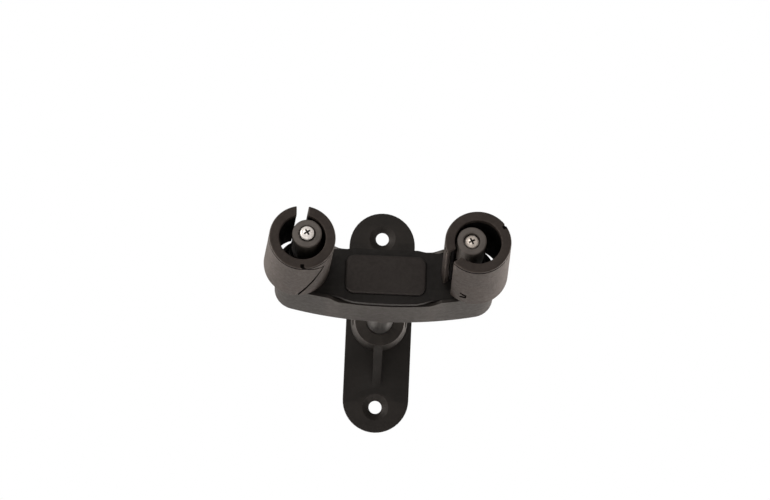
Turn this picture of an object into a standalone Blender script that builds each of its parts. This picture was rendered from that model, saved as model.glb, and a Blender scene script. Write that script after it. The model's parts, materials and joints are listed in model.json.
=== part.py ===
"""Wall guitar hanger: a wall plate with a bent arm, a swivelling yoke and two cushioned gates that turn on it.

The wall is the plane y = 0. The hanger stands out of it along -Y, +X is to the right of somebody who faces
it, and +Z is up. The origin is the centre of the wall plate's back face. Lengths are in metres.

The yoke and the gates are modelled in the yoke's own frame, on the axis that the yoke swivels about: +X to the
right, +Y up across the yoke's face and +Z out of its face, along the gates' axes. That frame leans back so that
its +Z rises by TILT from level. The gates' axes cross it HUB_RISE above the swivel's axis.
"""
import math

import bmesh
import bpy
from mathutils import Matrix

GAP = 0.0003  # left between solids that touch
FAR = 0.04  # how far cutters reach past what they cut
ROOT = 0.001  # how far a joined piece starts inside the solid that it stands on
CHAMFER = 0.0006  # on the edges of turned pieces
TILT = math.radians(15)  # how far the gates' axes rise from level, so that a guitar can't slide off

# Wall plate and arm
PLATE_WIDTH = 0.031
PLATE_HEIGHT = 0.104
PLATE_THICKNESS = 0.005
PLATE_SCREW_SPACING = 0.080
PLATE_SCREW_HOLE = 0.0031
PLATE_HOLE_DEPTH = 0.0022  # the straight part of a screw hole, behind its countersink
PLATE_EDGE = 0.0012
PLATE_COUNTERSINK = 0.0062
SOCKET_ROOT_RADIUS = 0.014
SOCKET_TOP_RADIUS = 0.0115
SOCKET_HEIGHT = 0.014
SOCKET_FLOOR = 0.0035
RIB_THICKNESS = 0.004
RIB_REACH = 0.030
RIB_TOP = 0.017
RIB_SHOULDER = 0.0105
ARM_RADIUS = 0.006
ARM_STRAIGHT = 0.025  # from the wall to the start of the bend
ARM_BEND_RADIUS = 0.040
ARM_SLOPE = 0.030  # from the end of the bend to the arm's end
ARM_PIN_RADIUS = 0.002
ARM_PIN_LENGTH = 0.0236
ARM_PIN_PLACE = 0.012  # from the wall

# Yoke outline, seen along the gates' axes
END_PLACE = 0.0382  # from the middle to the centre of each rounded end
END_RADIUS = 0.0098
YOKE_HALF_WIDTH = 0.0495
BELLY_DEPTH = 0.0182
BELLY_RADIUS = 0.198
CORNER_RADIUS = 0.0097
WAIST_HEIGHT = 0.008
WALL = 0.0024
LIP = 0.0015  # the housing's rim is thinner than its wall
YOKE_DEPTH = 0.0246
FLOOR = 0.004
HOUSING_EDGE = 0.0012
COVER_THICKNESS = 0.0022
COVER_EDGE = 0.0005
COVER_SPLIT = 0.0010  # between the housing's rim and the cover
APRON_INSET = 0.0003  # the cover reaches nearly to the yoke's edge under the neck
APRON_HALF = 0.0160
APRON_END = 0.0200
SADDLE_HALF = 0.0200  # the housing's rim is low from its middle to here and high beyond SADDLE_END
SADDLE_END = 0.0265
END_RIM = 0.0254  # the high rim, close behind the gates
WEB_PLACE = 0.0208
WEB_HALF_LENGTH = 0.0123
WEB_LOW = -0.0053
WEB_HIGH = -0.0037
WEB_TOP = 0.0092

# Swivel, along the yoke's axis
HUB_RISE = 0.0045  # from the swivel's axis up to the gates' axes
SWIVEL_LIMIT = math.radians(30)
BOLT_RADIUS = 0.004
BOLT_BORE = BOLT_RADIUS + GAP
BOSS_RADIUS = 0.0100
BOSS_TOP = 0.010
BUSH_RADIUS = 0.0062
BUSH_FLANGE_RADIUS = 0.0088
BUSH_FLANGE = 0.0012
FLAT_WASHER_RADIUS = 0.0085
FLAT_WASHER = 0.0012
DISC_SPRING_RADIUS = 0.0080
DISC_SPRING = 0.0008
DISC_SPRING_CONE = 0.0006
BOLT_HEAD_RADIUS = 0.0065
BOLT_HEAD_HEIGHT = 0.0042
BOLT_HEX_RADIUS = 0.0029
BOLT_HEX_DEPTH = 0.0026
BOLT_TIP = -0.0195
ARM_BORE_DEPTH = 0.023
COLLAR_RADIUS = 0.0125
COLLAR_LENGTH = 0.005
LUG_HALF_WIDTH = 0.002
LUG_INNER = 0.0099
LUG_OUTER = 0.0122
LUG_BACK = -0.0055
LUG_PLAY = math.radians(1)  # past each end of the swivel's range
THRUST_WASHER = 0.0010
THRUST_WASHER_RADIUS = 0.009

# Gates, along their own axes, counted from the yoke's back face
HUB_SPACING = 0.0718  # between the gates' axes
GATE_RADIUS = 0.0145
GATE_BORE = 0.0102
GATE_OFFSET = 0.0028  # from the gate's turning axis to the middle of its front
GATE_LEAN = math.radians(3.3)  # between the axis of the gate's round outside and its turning axis
GATE_LEAN_TURN = math.radians(125)  # towards this side at the back
CORE_BORE = 0.0107
GATE_BACK = 0.0266
GATE_FRONT = 0.063
GATE_EDGE = 0.0010  # rounding of the front edge
SLEEVE_THICKNESS = 0.0020
LIP_THICKNESS = 0.0025
SLOT_WIDTH = 0.0052
SLOT_TURN = math.radians(45)  # from the line to the turning axis, seen from the middle of the round outside
LEFT_GATE_TURN = math.radians(47)
RIGHT_GATE_TURN = math.radians(168)
SEAM_WIDTH = 0.0009
SEAM_FRONT_WIDTH = 0.0004
SEAM_DEPTH = 0.0010
SEAM_SWEEP = math.radians(35)
SEAM_POINT = 0.0075  # from the gate's front to the seam's point
CORE_INSET = 0.0010  # how far the core ends inside the sleeve at the back
HUB_RADIUS = 0.0065
HUB_FRONT = 0.062
SPINDLE_RADIUS = 0.0045
SPINDLE_FLANGE_RADIUS = 0.0064
SPINDLE_FLANGE = 0.003
SPINDLE_BOSS_RADIUS = 0.0084
SPINDLE_SEAT = 0.0178
SPINDLE_FRONT = 0.042
WASHER_SEAT_RADIUS = 0.0076
WASHER_SEAT = 0.0253
CORE_BUSH_RADIUS = 0.0075
GATE_WASHER = 0.0007
GATE_WASHER_RADIUS = 0.0072
GATE_SCREW_RADIUS = 0.002
GATE_SCREW_HEAD = 0.00305
GATE_SCREW_HEIGHT = 0.0021
GATE_SCREW_WELL = 0.00365
GATE_SCREW_CROSS = 0.0034
GATE_SCREW_SEAT = 0.0597
GATE_SCREW_TIP = 0.0295
GATE_SCREW_EDGE = 0.0008  # height of the head's straight side
LEFT_SCREW_PROUD = 0.0020  # the left gate's screw stands a turn or two out of its seat

# Cover screws and neck rest
COVER_SCREW_PLACES = ((-0.0215, 0.0022), (0.0215, 0.0022), (-0.0190, -0.0105), (0.0190, -0.0105))
COVER_SCREW_RADIUS = 0.0015
COVER_SCREW_HEAD = 0.0027
COVER_SCREW_HEAD_HEIGHT = 0.0021
COVER_SCREW_CROSS = 0.0028
CROSS_DEPTH = 0.0012
CROSS_HALF_WIDTH = 0.00045
CROSS_TURN = math.radians(20)
COVER_SCREW_SEAT = 0.003
COVER_SCREW_TIP = 0.0190
COVER_PILOT_TOP = 0.0203
PILLAR_RADIUS = 0.0034
PILLAR_SPLIT = 0.0120
REST_WIDTH = 0.036
REST_HEIGHT = 0.018
REST_LOW = -0.0135
REST_RISE = 0.0020
REST_SINK = 0.0009
REST_CORNER = 0.004

# Colour, roughness and metallic value of each material
BLACK_NYLON = ((0.035, 0.034, 0.033), 0.5, 0.0)
GREY_RUBBER = ((0.05, 0.046, 0.044), 0.75, 0.0)
BLACK_STEEL = ((0.02, 0.02, 0.02), 0.4, 0.3)
BRIGHT_STEEL = ((0.72, 0.70, 0.66), 0.28, 1.0)
WHITE_ACETAL = ((0.75, 0.74, 0.70), 0.4, 0.0)

RIM = YOKE_DEPTH - COVER_THICKNESS - COVER_SPLIT  # the housing's front edge under the neck
COVER_INSET = LIP + GAP  # at the yoke's ends, where the cover lies inside the high rim
COVER_BACK = YOKE_DEPTH - COVER_THICKNESS
ARM_END = -(THRUST_WASHER + 2 * GAP)
WAIST_RADIUS = (END_PLACE**2 + WAIST_HEIGHT**2 - END_RADIUS**2) / (2 * (END_RADIUS - WAIST_HEIGHT))
CORNER_X = YOKE_HALF_WIDTH - CORNER_RADIUS
CORNER_Y = BELLY_RADIUS - BELLY_DEPTH - math.sqrt((BELLY_RADIUS - CORNER_RADIUS) ** 2 - CORNER_X**2)


def clear_scene():
    for old in list(bpy.data.objects):
        bpy.data.objects.remove(old, do_unlink=True)


def new_collection(name):
    made = bpy.data.collections.new(name)
    bpy.context.scene.collection.children.link(made)
    return made


def finish(name, colour, roughness, metallic):
    made = bpy.data.materials.new(name)
    made.use_nodes = True
    shader = made.node_tree.nodes["Principled BSDF"]
    shader.inputs["Base Color"].default_value = (*colour, 1.0)
    shader.inputs["Roughness"].default_value = roughness
    shader.inputs["Metallic"].default_value = metallic
    return made


def axis_frame(name, place, turn, parent=None):
    """An empty that holds a frame's place and turn."""
    made = bpy.data.objects.new(name, None)
    PARTS.objects.link(made)
    made.location = place
    made.rotation_euler = turn
    made.parent = parent
    return made


def add(name, mesh, frame, look):
    """A visible piece in that frame, or a cutter where look is None."""
    made = bpy.data.objects.new(name, mesh)
    made.parent = frame
    if look is None:
        CUTTERS.objects.link(made)
        made.hide_render = True
        made.display_type = "WIRE"
    else:
        PARTS.objects.link(made)
        mesh.materials.append(finish(name, *look))
    return made


def arc(x, y, radius, start, end, steps):
    """Points along an arc, with both ends, from angle start to angle end in degrees."""
    angles = [math.radians(start + (end - start) * i / steps) for i in range(steps + 1)]
    return [(x + radius * math.cos(a), y + radius * math.sin(a)) for a in angles]


def turned(name, profile, frame, look, steps=48, closed=True):
    """A profile of (radius, height) turned about the frame's Z. It runs down the outer side."""
    mesh = bpy.data.meshes.new(name)
    count = len(profile)
    edges = [(i, (i + 1) % count) for i in range(count if closed else count - 1)]
    mesh.from_pydata([(r, 0, z) for r, z in profile], edges, [])
    made = add(name, mesh, frame, look)
    screw = made.modifiers.new("turn", "SCREW")
    screw.steps = screw.render_steps = steps
    screw.use_merge_vertices = True
    screw.merge_threshold = 0.00001
    screw.use_smooth_shade = False
    return made


def ring(name, inner, outer, low, high, frame, look, steps=48):
    return turned(name, [(outer, high), (outer, low), (inner, low), (inner, high)], frame, look, steps)


def peg(name, radius, low, high, frame, look, place=(0, 0), steps=32):
    """A round bar along the frame's Z."""
    shape = bmesh.new()
    middle = Matrix.Translation((*place, (low + high) / 2))
    bmesh.ops.create_cone(
        shape, cap_ends=True, segments=steps, radius1=radius, radius2=radius, depth=high - low, matrix=middle
    )
    mesh = bpy.data.meshes.new(name)
    shape.to_mesh(mesh)
    shape.free()
    return add(name, mesh, frame, look)


def block(name, low, high, frame, look, turn=0.0, about=(0, 0)):
    """A box between two corners, turned about the frame's Z through the point about."""
    size = [b - a for a, b in zip(low, high)]
    middle = [(a + b) / 2 for a, b in zip(low, high)]
    spin = Matrix.Translation((*about, 0)) @ Matrix.Rotation(turn, 4, "Z") @ Matrix.Translation(middle)
    shape = bmesh.new()
    bmesh.ops.create_cube(shape, size=1.0, matrix=spin @ Matrix.Diagonal((*size, 1.0)))
    mesh = bpy.data.meshes.new(name)
    shape.to_mesh(mesh)
    shape.free()
    return add(name, mesh, frame, look)


def outline_solid(name, points, low, high, frame, look):
    """A closed outline in the frame's XY plane, thickened from low to high along its Z."""
    curve = bpy.data.curves.new(name, "CURVE")
    curve.dimensions = "2D"
    curve.fill_mode = "BOTH"
    curve.extrude = (high - low) / 2
    spline = curve.splines.new("POLY")
    spline.points.add(len(points) - 1)
    for point, (x, y) in zip(spline.points, points):
        point.co = (x, y, 0, 1)
    spline.use_cyclic_u = True
    drawn = bpy.data.objects.new(name + "_outline", curve)
    bpy.context.scene.collection.objects.link(drawn)
    return from_curve(name, drawn, Matrix.Translation((0, 0, (low + high) / 2)), frame, look)


def from_curve(name, drawn, place, frame, look):
    """The curve's solid as a mesh piece with its caps welded on. The curve is removed."""
    evaluated = drawn.evaluated_get(bpy.context.evaluated_depsgraph_get())
    mesh = bpy.data.meshes.new_from_object(evaluated)
    mesh.name = name
    shape = bmesh.new()
    shape.from_mesh(mesh)
    bmesh.ops.remove_doubles(shape, verts=shape.verts, dist=0.000001)
    bmesh.ops.recalc_face_normals(shape, faces=shape.faces)
    shape.transform(place)
    shape.to_mesh(mesh)
    shape.free()
    bpy.data.objects.remove(drawn, do_unlink=True)
    return add(name, mesh, frame, look)


def combine(piece, other, operation):
    step = piece.modifiers.new(other.name, "BOOLEAN")
    step.operation = operation
    step.object = other
    return piece


def cut(piece, *cutters):
    for cutter in cutters:
        combine(piece, cutter, "DIFFERENCE")
    return piece


def join(piece, *others):
    for other in others:
        combine(piece, other, "UNION")
    return piece


def round_edges(piece, width, steps=2, angle=50):
    bevel = piece.modifiers.new("edges", "BEVEL")
    bevel.width = width
    bevel.segments = steps
    bevel.limit_method = "ANGLE"
    bevel.angle_limit = math.radians(angle)
    return piece


def smooth(piece):
    """Shades a piece made by the modelling operators smooth, with its edges sharp."""
    piece.data.shade_smooth()
    piece.data.set_sharp_from_angle(angle=math.radians(35))
    return piece


def ease(x, start, end):
    """Rises smoothly from nought where x is within start of the middle to one where it is beyond end."""
    share = min(1.0, max(0.0, (abs(x) - start) / (end - start)))
    return share * share * (3 - 2 * share)


def side_inset(x, inset, apron):
    """How far inside the yoke's long edges a line runs at x: apron under the neck, inset beyond it."""
    return apron + (inset - apron) * ease(x, APRON_HALF, APRON_END)


def yoke_outline(inset=0.0, apron=None):
    """The yoke's outline, anticlockwise from the right end, moved inwards by inset."""
    apron = inset if apron is None else apron
    lean = math.degrees(math.atan2(END_PLACE, WAIST_HEIGHT + WAIST_RADIUS))
    turn = math.degrees(math.atan2(CORNER_X, BELLY_RADIUS - BELLY_DEPTH - CORNER_Y))
    slant = math.degrees(math.atan2(CORNER_X - END_PLACE, -CORNER_Y))
    end = arc(END_PLACE, 0, END_RADIUS - inset, slant, 90 + lean, 10)
    waist_centre = WAIST_HEIGHT + WAIST_RADIUS
    waist = []
    waist_steps = 16
    for i in range(1, waist_steps):
        angle = math.radians(270 + lean - 2 * lean * i / waist_steps)
        radius = WAIST_RADIUS + side_inset(WAIST_RADIUS * math.cos(angle), inset, apron)
        waist.append((radius * math.cos(angle), waist_centre + radius * math.sin(angle)))
    corner = arc(-CORNER_X, CORNER_Y, CORNER_RADIUS - inset, 180 - slant, 270 - turn, 10)
    left_end = [(-x, y) for x, y in reversed(end)]
    belly = []
    belly_steps = 24
    for i in range(1, belly_steps):
        angle = math.radians(270 - turn + 2 * turn * i / belly_steps)
        x = BELLY_RADIUS * math.cos(angle)
        radius = BELLY_RADIUS - side_inset(x, inset, apron)
        belly.append((radius * math.cos(angle), BELLY_RADIUS - BELLY_DEPTH + radius * math.sin(angle)))
    right_corner = [(-x, y) for x, y in reversed(corner)]
    return end + waist + left_end + corner + belly + right_corner


def rounded_rectangle(width, height, radius, centre=(0, 0), steps=6):
    points = []
    for turn, side_x, side_y in ((0, 1, 1), (90, -1, 1), (180, -1, -1), (270, 1, -1)):
        x = centre[0] + side_x * (width / 2 - radius)
        y = centre[1] + side_y * (height / 2 - radius)
        points += arc(x, y, radius, turn, turn + 90, steps)
    return points


def wall_plate(frame):
    """The plate that is screwed to the wall, with the socket that takes the arm. The frame's Z leaves the wall."""
    outline = rounded_rectangle(PLATE_WIDTH, PLATE_HEIGHT, PLATE_WIDTH / 2, steps=12)
    plate = outline_solid("wall_plate", outline, 0, PLATE_THICKNESS, frame, BLACK_NYLON)
    round_edges(plate, PLATE_EDGE)
    top = PLATE_THICKNESS + SOCKET_HEIGHT
    socket = [(0, top), (SOCKET_TOP_RADIUS, top), (SOCKET_ROOT_RADIUS, ROOT), (0, ROOT)]
    join(plate, turned("plate_socket", socket, frame, None, closed=False))
    for side in (1, -1):
        foot = PLATE_THICKNESS - ROOT
        rib = [(0, foot), (RIB_REACH, foot), (RIB_REACH, PLATE_THICKNESS), (RIB_SHOULDER, RIB_TOP), (0, RIB_TOP)]
        stand = axis_frame(f"rib_frame_{side}", (0, 0, 0), (math.pi / 2, 0, side * math.pi / 2), frame)
        join(plate, outline_solid(f"plate_rib_{side}", rib, -RIB_THICKNESS / 2, RIB_THICKNESS / 2, stand, None))
    cut(plate, peg("arm_socket", ARM_RADIUS + GAP, SOCKET_FLOOR, 2 * top, frame, None, steps=48))
    flare = (PLATE_COUNTERSINK - PLATE_SCREW_HOLE) / (PLATE_THICKNESS - PLATE_HOLE_DEPTH)
    wide = PLATE_COUNTERSINK + flare * PLATE_THICKNESS
    for side in (1, -1):
        hole = [
            (0, 2 * PLATE_THICKNESS),
            (wide, 2 * PLATE_THICKNESS),
            (PLATE_SCREW_HOLE, PLATE_HOLE_DEPTH),
            (PLATE_SCREW_HOLE, -ROOT),
            (0, -ROOT),
        ]
        seat = axis_frame(f"screw_frame_{side}", (0, side * PLATE_SCREW_SPACING / 2, 0), (0, 0, 0), frame)
        cut(plate, turned(f"plate_hole_{side}", hole, seat, None, steps=32, closed=False))
    return plate


def arm_path():
    """The arm's centre line in the world's YZ plane, from its socket to its end."""
    points = [(-SOCKET_FLOOR - GAP, 0.0)]
    steps = 8
    for i in range(steps + 1):
        angle = TILT * i / steps
        y = -ARM_STRAIGHT - ARM_BEND_RADIUS * math.sin(angle)
        points.append((y, ARM_BEND_RADIUS * (1 - math.cos(angle))))
    y, z = points[-1]
    points.append((y - ARM_SLOPE * math.cos(TILT), z + ARM_SLOPE * math.sin(TILT)))
    return points


def arm():
    curve = bpy.data.curves.new("arm", "CURVE")
    curve.dimensions = "3D"
    curve.bevel_depth = ARM_RADIUS
    curve.bevel_resolution = 10
    curve.use_fill_caps = True
    path = arm_path()
    spline = curve.splines.new("POLY")
    spline.points.add(len(path) - 1)
    for point, (y, z) in zip(spline.points, path):
        point.co = (0, y, z, 1)
    drawn = bpy.data.objects.new("arm_line", curve)
    bpy.context.scene.collection.objects.link(drawn)
    rod = from_curve("arm", drawn, Matrix.Identity(4), None, BLACK_STEEL)
    cut(rod, peg("arm_end_bore", BOLT_BORE, -ARM_BORE_DEPTH, FAR, YOKE, None))
    pin_frame = axis_frame("pin_frame", (0, -ARM_PIN_PLACE, 0), (0, math.pi / 2, 0))
    half = ARM_PIN_LENGTH / 2
    pin_hole = peg("pin_hole", ARM_PIN_RADIUS + GAP, -FAR, FAR, pin_frame, None, steps=24)
    cut(rod, pin_hole)
    cut(bpy.data.objects["wall_plate"], pin_hole)
    smooth(peg("arm_pin", ARM_PIN_RADIUS, -half, half, pin_frame, BRIGHT_STEEL, steps=24))


def swivel():
    """The pieces that the yoke turns on. All but the bush stay with the arm."""
    back = ARM_END - COLLAR_LENGTH
    profile = [
        (COLLAR_RADIUS, ARM_END - CHAMFER),
        (COLLAR_RADIUS, back + CHAMFER),
        (COLLAR_RADIUS - CHAMFER, back),
        (ARM_RADIUS + GAP, back),
        (ARM_RADIUS + GAP, ARM_END),
        (COLLAR_RADIUS - CHAMFER, ARM_END),
    ]
    collar = turned("stop_collar", profile, YOKE, BLACK_STEEL)
    lug_angle = math.degrees(SWIVEL_LIMIT + math.asin(LUG_HALF_WIDTH / LUG_INNER) + LUG_PLAY)
    notch_inner = LUG_INNER - 2 * GAP
    notch = arc(0, 0, notch_inner, 270 - lug_angle, 270 + lug_angle, 12)
    notch += arc(0, 0, 2 * COLLAR_RADIUS, 270 + lug_angle, 270 - lug_angle, 6)
    cut(collar, outline_solid("collar_notch", notch, back - ROOT, ARM_END + ROOT, YOKE, None))
    ring("swivel_thrust_washer", BOLT_BORE, THRUST_WASHER_RADIUS, ARM_END + GAP, -GAP, YOKE, WHITE_ACETAL)
    seat = BOSS_TOP + GAP
    front = seat + BUSH_FLANGE
    bush = [
        (BUSH_FLANGE_RADIUS, front),
        (BUSH_FLANGE_RADIUS, seat),
        (BUSH_RADIUS, seat),
        (BUSH_RADIUS, 0),
        (BOLT_BORE, 0),
        (BOLT_BORE, front),
    ]
    turned("swivel_bush", bush, YOKE, WHITE_ACETAL)
    washer = front + GAP
    spring = washer + FLAT_WASHER + GAP
    ring("swivel_flat_washer", BOLT_BORE, FLAT_WASHER_RADIUS, washer, spring - GAP, YOKE, BRIGHT_STEEL)
    cone = [
        (DISC_SPRING_RADIUS, spring + DISC_SPRING),
        (DISC_SPRING_RADIUS, spring),
        (BOLT_BORE, spring + DISC_SPRING_CONE),
        (BOLT_BORE, spring + DISC_SPRING_CONE + DISC_SPRING),
    ]
    turned("swivel_disc_spring", cone, YOKE, BRIGHT_STEEL)
    under = spring + DISC_SPRING_CONE + DISC_SPRING + GAP
    head = under + BOLT_HEAD_HEIGHT
    bolt = [
        (0, head),
        (BOLT_HEAD_RADIUS - CHAMFER, head),
        (BOLT_HEAD_RADIUS, head - CHAMFER),
        (BOLT_HEAD_RADIUS, under),
        (BOLT_RADIUS, under),
        (BOLT_RADIUS, BOLT_TIP + CHAMFER),
        (BOLT_RADIUS - CHAMFER, BOLT_TIP),
        (0, BOLT_TIP),
    ]
    made = turned("swivel_bolt", bolt, YOKE, BRIGHT_STEEL, closed=False)
    cut(made, peg("bolt_socket", BOLT_HEX_RADIUS, head - BOLT_HEX_DEPTH, FAR, YOKE, None, steps=6))


def saddle_cutter():
    """What is cut from the housing's front to leave its rim low under the neck and high at both ends."""
    top = END_RIM + GAP
    steps = 16
    spots = [SADDLE_END - (SADDLE_END - SADDLE_HALF) * i / steps for i in range(steps + 1)]
    slope = [(x, RIM + (top - RIM) * ease(x, SADDLE_HALF, SADDLE_END)) for x in spots]
    outline = [(-x, z) for x, z in slope] + slope[::-1] + [(SADDLE_END, FAR), (-SADDLE_END, FAR)]
    stand = axis_frame("saddle_frame", (0, 0, 0), (math.pi / 2, 0, 0), FACE)
    return outline_solid("saddle", outline, -FAR, FAR, stand, None)


def yoke_housing():
    """The yoke's deep back shell with its bosses and the stop lug behind."""
    shell = outline_solid("yoke_housing", yoke_outline(), 0, END_RIM, FACE, BLACK_NYLON)
    round_edges(shell, HOUSING_EDGE)
    cut(shell, saddle_cutter())
    cut(shell, outline_solid("housing_hollow", yoke_outline(WALL), FLOOR, FAR, FACE, None))
    cut(shell, outline_solid("rim_recess", yoke_outline(LIP), RIM - GAP, FAR, FACE, None))
    join(shell, peg("swivel_boss", BOSS_RADIUS, FLOOR - ROOT, BOSS_TOP, YOKE, None, steps=40))
    for side, post in POSTS.items():
        join(shell, peg(f"spindle_boss_{side}", SPINDLE_BOSS_RADIUS, FLOOR - ROOT, SPINDLE_SEAT, post, None, steps=40))
    for side in (-1, 1):
        low = (side * WEB_PLACE - WEB_HALF_LENGTH, WEB_LOW, FLOOR - ROOT)
        high = (side * WEB_PLACE + WEB_HALF_LENGTH, WEB_HIGH, WEB_TOP)
        join(shell, block(f"housing_web_{side}", low, high, FACE, None))
    for i, place in enumerate(COVER_SCREW_PLACES, 1):
        join(shell, peg(f"housing_pillar_{i}", PILLAR_RADIUS, FLOOR - ROOT, PILLAR_SPLIT, FACE, None, place, 24))
    lug = ((-LUG_HALF_WIDTH, -LUG_OUTER, LUG_BACK), (LUG_HALF_WIDTH, -LUG_INNER, ROOT))
    join(shell, block("stop_lug", *lug, YOKE, None))
    cut(shell, peg("bush_bore", BUSH_RADIUS + GAP, -FAR, FAR, YOKE, None, steps=40))
    for i, place in enumerate(COVER_SCREW_PLACES, 1):
        bore = [
            (0, FAR),
            (COVER_SCREW_RADIUS + GAP, FAR),
            (COVER_SCREW_RADIUS + GAP, COVER_SCREW_SEAT),
            (COVER_SCREW_HEAD + GAP, COVER_SCREW_SEAT),
            (COVER_SCREW_HEAD + GAP, -ROOT),
            (0, -ROOT),
        ]
        seat_frame = axis_frame(f"cover_screw_frame_{i}", (*place, 0), (0, 0, 0), FACE)
        cut(shell, turned(f"housing_screw_bore_{i}", bore, seat_frame, None, steps=24, closed=False))


def yoke_cover():
    """The thin front plate that closes the yoke, with an apron under the neck and four pillars behind."""
    plate = outline_solid(
        "yoke_cover", yoke_outline(COVER_INSET, APRON_INSET), COVER_BACK, YOKE_DEPTH, FACE, BLACK_NYLON
    )
    round_edges(plate, COVER_EDGE)
    for i, place in enumerate(COVER_SCREW_PLACES, 1):
        low = PILLAR_SPLIT + GAP
        join(plate, peg(f"cover_pillar_{i}", PILLAR_RADIUS - GAP, low, COVER_BACK + ROOT, FACE, None, place, 24))
        cut(plate, peg(f"cover_pilot_{i}", COVER_SCREW_RADIUS + GAP, 0, COVER_PILOT_TOP, FACE, None, place, 24))
    for side, post in POSTS.items():
        seat = peg(f"washer_seat_{side}", WASHER_SEAT_RADIUS, COVER_BACK + ROOT, WASHER_SEAT, post, None, steps=40)
        join(plate, seat)
        cut(plate, peg(f"spindle_hole_{side}", SPINDLE_RADIUS + GAP, 0, FAR, post, None, steps=40))
    middle = REST_LOW + REST_HEIGHT / 2
    recess = rounded_rectangle(REST_WIDTH + 2 * GAP, REST_HEIGHT + 2 * GAP, REST_CORNER + GAP, (0, middle))
    cut(plate, outline_solid("rest_recess", recess, YOKE_DEPTH - REST_SINK - GAP, FAR, FACE, None))
    rest_outline = rounded_rectangle(REST_WIDTH, REST_HEIGHT, REST_CORNER, (0, middle))
    rest = outline_solid(
        "neck_rest", rest_outline, YOKE_DEPTH - REST_SINK, YOKE_DEPTH + REST_RISE, FACE, GREY_RUBBER
    )
    round_edges(rest, COVER_EDGE)
    for i, place in enumerate(COVER_SCREW_PLACES, 1):
        frame = bpy.data.objects[f"cover_screw_frame_{i}"]
        head = COVER_SCREW_SEAT - GAP
        foot = head - COVER_SCREW_HEAD_HEIGHT
        screw = [
            (0, COVER_SCREW_TIP),
            (COVER_SCREW_RADIUS - CHAMFER, COVER_SCREW_TIP),
            (COVER_SCREW_RADIUS, COVER_SCREW_TIP - CHAMFER),
            (COVER_SCREW_RADIUS, head),
            (COVER_SCREW_HEAD, head),
            (COVER_SCREW_HEAD, foot + CHAMFER),
            (COVER_SCREW_HEAD - CHAMFER, foot),
            (0, foot),
        ]
        made = turned(f"cover_screw_{i}", screw, frame, BRIGHT_STEEL, steps=24, closed=False)
        cross_recess(made, frame, foot - ROOT, foot + CROSS_DEPTH, COVER_SCREW_CROSS)


def cross_recess(screw, frame, low, high, length):
    """The cross cut in a screw's head, from low to high along the frame's Z."""
    corners = ((-length / 2, -CROSS_HALF_WIDTH, low), (length / 2, CROSS_HALF_WIDTH, high))
    for turn in (0, 90):
        cut(screw, block(f"{screw.name}_cross_{turn}", *corners, frame, None, CROSS_TURN + math.radians(turn)))


def gate_fittings(side, frame, proud):
    """What holds one gate on the yoke and doesn't turn with it: spindle, washer, hub cap and screw."""
    base = SPINDLE_SEAT + GAP
    bore = GATE_SCREW_RADIUS + GAP
    spindle = [
        (SPINDLE_RADIUS, SPINDLE_FRONT),
        (SPINDLE_RADIUS, base + SPINDLE_FLANGE),
        (SPINDLE_FLANGE_RADIUS, base + SPINDLE_FLANGE),
        (SPINDLE_FLANGE_RADIUS, base),
        (bore, base),
        (bore, SPINDLE_FRONT),
    ]
    turned(f"spindle_{side}", spindle, frame, BRIGHT_STEEL, steps=40)
    washer = WASHER_SEAT + GAP
    bearing = washer + GATE_WASHER
    ring(f"gate_washer_{side}", SPINDLE_RADIUS + GAP, GATE_WASHER_RADIUS, washer, bearing, frame, WHITE_ACETAL, 40)
    back = SPINDLE_FRONT + GAP
    seat = GATE_SCREW_SEAT - GAP
    cap = [
        (HUB_RADIUS - CHAMFER, HUB_FRONT),
        (HUB_RADIUS, HUB_FRONT - CHAMFER),
        (HUB_RADIUS, back),
        (bore, back),
        (bore, seat),
        (GATE_SCREW_WELL, seat),
        (GATE_SCREW_WELL, HUB_FRONT),
    ]
    turned(f"hub_cap_{side}", cap, frame, BLACK_NYLON, steps=40)
    under = GATE_SCREW_SEAT + proud
    top = under + GATE_SCREW_HEIGHT
    edge = under + GATE_SCREW_EDGE
    dome = [(r, edge + z * (top - edge) / GATE_SCREW_HEAD) for r, z in arc(0, 0, GATE_SCREW_HEAD, 90, 0, 6)]
    dome[0] = (0, top)
    tip = GATE_SCREW_TIP + proud
    shank = [
        (GATE_SCREW_HEAD, under),
        (GATE_SCREW_RADIUS, under),
        (GATE_SCREW_RADIUS, tip + CHAMFER),
        (GATE_SCREW_RADIUS - CHAMFER, tip),
        (0, tip),
    ]
    made = turned(f"gate_screw_{side}", dome + shank, frame, BRIGHT_STEEL, steps=32, closed=False)
    cross_recess(made, frame, top - CROSS_DEPTH, top + ROOT, GATE_SCREW_CROSS)


def seam_cutter(name, start, sweep, low, high, width, frame):
    """A thin helical wall through the sleeve's outside, from height low to high while it turns by sweep."""
    mesh = bpy.data.meshes.new(name)
    mesh.from_pydata([(GATE_RADIUS - SEAM_DEPTH, 0, low), (GATE_RADIUS + SEAM_DEPTH, 0, low)], [(0, 1)], [])
    made = add(name, mesh, frame, None)
    made.rotation_euler = (0, 0, start)
    helix = made.modifiers.new("helix", "SCREW")
    helix.angle = sweep
    helix.screw_offset = high - low
    helix.steps = helix.render_steps = 12
    helix.use_smooth_shade = False
    wall = made.modifiers.new("wall", "SOLIDIFY")
    wall.thickness = width
    wall.offset = 0
    return made


def cut_seam(sleeve, side, frame):
    """The sleeve's pointed seam, opposite its slot: from the front edge to a point beside it, and to the back."""
    foot = SLOT_TURN + math.pi
    back = (foot, SEAM_SWEEP, GATE_BACK - SEAM_DEPTH, GATE_FRONT - SEAM_POINT, SEAM_WIDTH)
    front = (foot + SEAM_SWEEP, -SEAM_SWEEP, GATE_FRONT - SEAM_POINT, GATE_FRONT + SEAM_DEPTH, SEAM_FRONT_WIDTH)
    cut(sleeve, seam_cutter(f"seam_back_{side}", *back, frame), seam_cutter(f"seam_front_{side}", *front, frame))


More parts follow.
